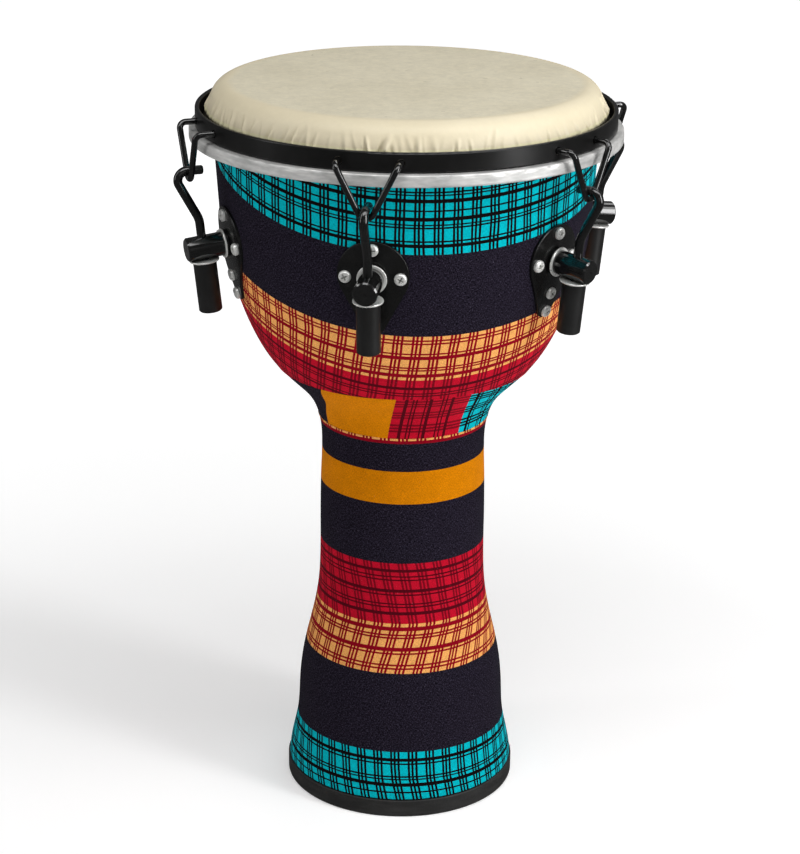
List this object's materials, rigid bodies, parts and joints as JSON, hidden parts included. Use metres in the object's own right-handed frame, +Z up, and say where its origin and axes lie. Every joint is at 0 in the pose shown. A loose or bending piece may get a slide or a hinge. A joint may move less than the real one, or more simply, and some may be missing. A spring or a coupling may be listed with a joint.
{
  "type": "djembe",
  "caption": "Goblet-shaped hand drum with a fabric-covered synthetic shell, a synthetic head and key-tuned hooks round its rim.",
  "frame": {"origin": "centre of the foot ring's underside, on the floor", "axes": "+Z up along the drum's axis, towards the head; lug 1 faces -Y"},
  "size_m": [0.2904, 0.3232, 0.5077],
  "materials": {
    "shell_plastic": "matte moulded plastic",
    "bowl_fabric": "printed cotton",
    "neck_fabric": "printed cotton",
    "stem_fabric": "printed cotton",
    "rubber": "matte",
    "head_film": "satin synthetic film",
    "aluminium": "crimped, bright",
    "steel_wire": "plain",
    "black_steel": "satin black",
    "black_rod": "semi-gloss black",
    "black_nut": "matte black",
    "zinc": "bright zinc"
  },
  "bodies": {
    "drum_body": {"shell": "shell_plastic", "bowl_wrap": "bowl_fabric", "neck_wrap": "neck_fabric", "stem_wrap": "stem_fabric", "foot_ring": "rubber", "post_collars": "black_steel", "post_washers": "zinc", "plate_screws": "zinc", "screw_nuts": "zinc", "post_backing_washers": "zinc", "post_nuts": "zinc", "lug_plate_1": "black_steel", "lug_plate_2": "black_steel", "lug_plate_3": "black_steel", "lug_plate_4": "black_steel", "lug_plate_5": "black_steel", "lug_plate_6": "black_steel", "lug_post_1": "black_steel", "lug_post_2": "black_steel", "lug_post_3": "black_steel", "lug_post_4": "black_steel", "lug_post_5": "black_steel", "lug_post_6": "black_steel", "nut_washer_1": "zinc", "nut_washer_2": "zinc", "nut_washer_3": "zinc", "nut_washer_4": "zinc", "nut_washer_5": "zinc", "nut_washer_6": "zinc"},
    "head_assembly": {"counterhoop": "black_steel", "flesh_hoop": "aluminium", "head_lock_ring": "steel_wire", "drumhead": "head_film"},
    "tuning_nut_1": {"tuning_nut_1": "black_nut"},
    "tension_hook_1": {"tension_hook_1": "black_rod"},
    "hoop_link_1": {"hoop_link_1": "black_rod"},
    "tuning_nut_2": {"tuning_nut_2": "black_nut"},
    "tension_hook_2": {"tension_hook_2": "black_rod"},
    "hoop_link_2": {"hoop_link_2": "black_rod"},
    "tuning_nut_3": {"tuning_nut_3": "black_nut"},
    "tension_hook_3": {"tension_hook_3": "black_rod"},
    "hoop_link_3": {"hoop_link_3": "black_rod"},
    "tuning_nut_4": {"tuning_nut_4": "black_nut"},
    "tension_hook_4": {"tension_hook_4": "black_rod"},
    "hoop_link_4": {"hoop_link_4": "black_rod"},
    "tuning_nut_5": {"tuning_nut_5": "black_nut"},
    "tension_hook_5": {"tension_hook_5": "black_rod"},
    "hoop_link_5": {"hoop_link_5": "black_rod"},
    "tuning_nut_6": {"tuning_nut_6": "black_nut"},
    "tension_hook_6": {"tension_hook_6": "black_rod"},
    "hoop_link_6": {"hoop_link_6": "black_rod"}
  },
  "joints": [
    {"name": "nut_1_turn", "type": "hinge", "parent": "drum_body", "child": "tuning_nut_1", "pos_m": [0, -0.13971, 0.37978], "axis": [0, -0.1097, 0.994], "range_deg": [0, 1440]},
    {"name": "nut_2_turn", "type": "hinge", "parent": "drum_body", "child": "tuning_nut_2", "pos_m": [0.12099, -0.06985, 0.37978], "axis": [0.095, -0.0549, 0.994], "range_deg": [0, 1440]},
    {"name": "nut_3_turn", "type": "hinge", "parent": "drum_body", "child": "tuning_nut_3", "pos_m": [0.12099, 0.06985, 0.37978], "axis": [0.095, 0.0549, 0.994], "range_deg": [0, 1440]},
    {"name": "nut_4_turn", "type": "hinge", "parent": "drum_body", "child": "tuning_nut_4", "pos_m": [0, 0.13971, 0.37978], "axis": [0, 0.1097, 0.994], "range_deg": [0, 1440]},
    {"name": "nut_5_turn", "type": "hinge", "parent": "drum_body", "child": "tuning_nut_5", "pos_m": [-0.12099, 0.06985, 0.37978], "axis": [-0.095, 0.0549, 0.994], "range_deg": [0, 1440]},
    {"name": "nut_6_turn", "type": "hinge", "parent": "drum_body", "child": "tuning_nut_6", "pos_m": [-0.12099, -0.06985, 0.37978], "axis": [-0.095, -0.0549, 0.994], "range_deg": [0, 1440]},
    {"name": "hook_1_slide", "type": "slide", "parent": "drum_body", "child": "tension_hook_1", "axis": [0, -0.1097, 0.994], "range_m": [0, 0.004]},
    {"name": "hook_2_slide", "type": "slide", "parent": "drum_body", "child": "tension_hook_2", "axis": [0.095, -0.0549, 0.994], "range_m": [0, 0.004]},
    {"name": "hook_3_slide", "type": "slide", "parent": "drum_body", "child": "tension_hook_3", "axis": [0.095, 0.0549, 0.994], "range_m": [0, 0.004]},
    {"name": "hook_4_slide", "type": "slide", "parent": "drum_body", "child": "tension_hook_4", "axis": [0, 0.1097, 0.994], "range_m": [0, 0.004]},
    {"name": "hook_5_slide", "type": "slide", "parent": "drum_body", "child": "tension_hook_5", "axis": [-0.095, 0.0549, 0.994], "range_m": [0, 0.004]},
    {"name": "hook_6_slide", "type": "slide", "parent": "drum_body", "child": "tension_hook_6", "axis": [-0.095, -0.0549, 0.994], "range_m": [0, 0.004]},
    {"name": "head_slide", "type": "slide", "parent": "drum_body", "child": "head_assembly", "axis": [0, 0, 1], "range_m": [0, 0.00398]},
    {"name": "link_1_swing", "type": "hinge", "parent": "head_assembly", "child": "hoop_link_1", "pos_m": [0, -0.1381, 0.4856], "axis": [1, 0, 0], "range_deg": [0, 12]},
    {"name": "link_2_swing", "type": "hinge", "parent": "head_assembly", "child": "hoop_link_2", "pos_m": [0.1196, -0.06905, 0.4856], "axis": [0.5, 0.866, 0], "range_deg": [0, 12]},
    {"name": "link_3_swing", "type": "hinge", "parent": "head_assembly", "child": "hoop_link_3", "pos_m": [0.1196, 0.06905, 0.4856], "axis": [-0.5, 0.866, 0], "range_deg": [0, 12]},
    {"name": "link_4_swing", "type": "hinge", "parent": "head_assembly", "child": "hoop_link_4", "pos_m": [0, 0.1381, 0.4856], "axis": [-1, 0, 0], "range_deg": [0, 12]},
    {"name": "link_5_swing", "type": "hinge", "parent": "head_assembly", "child": "hoop_link_5", "pos_m": [-0.1196, 0.06905, 0.4856], "axis": [-0.5, -0.866, 0], "range_deg": [0, 12]},
    {"name": "link_6_swing", "type": "hinge", "parent": "head_assembly", "child": "hoop_link_6", "pos_m": [-0.1196, -0.06905, 0.4856], "axis": [0.5, -0.866, 0], "range_deg": [0, 12]}
  ],
  "couplings": [
    {"joint": "nut_1_turn", "follows": "head_slide", "rad_per_m": 6321.4},
    {"joint": "hook_1_slide", "follows": "head_slide", "ratio": 1.0061},
    {"joint": "nut_2_turn", "follows": "head_slide", "rad_per_m": 6321.4},
    {"joint": "hook_2_slide", "follows": "head_slide", "ratio": 1.0061},
    {"joint": "nut_3_turn", "follows": "head_slide", "rad_per_m": 6321.4},
    {"joint": "hook_3_slide", "follows": "head_slide", "ratio": 1.0061},
    {"joint": "nut_4_turn", "follows": "head_slide", "rad_per_m": 6321.4},
    {"joint": "hook_4_slide", "follows": "head_slide", "ratio": 1.0061},
    {"joint": "nut_5_turn", "follows": "head_slide", "rad_per_m": 6321.4},
    {"joint": "hook_5_slide", "follows": "head_slide", "ratio": 1.0061},
    {"joint": "nut_6_turn", "follows": "head_slide", "rad_per_m": 6321.4},
    {"joint": "hook_6_slide", "follows": "head_slide", "ratio": 1.0061}
  ]
}
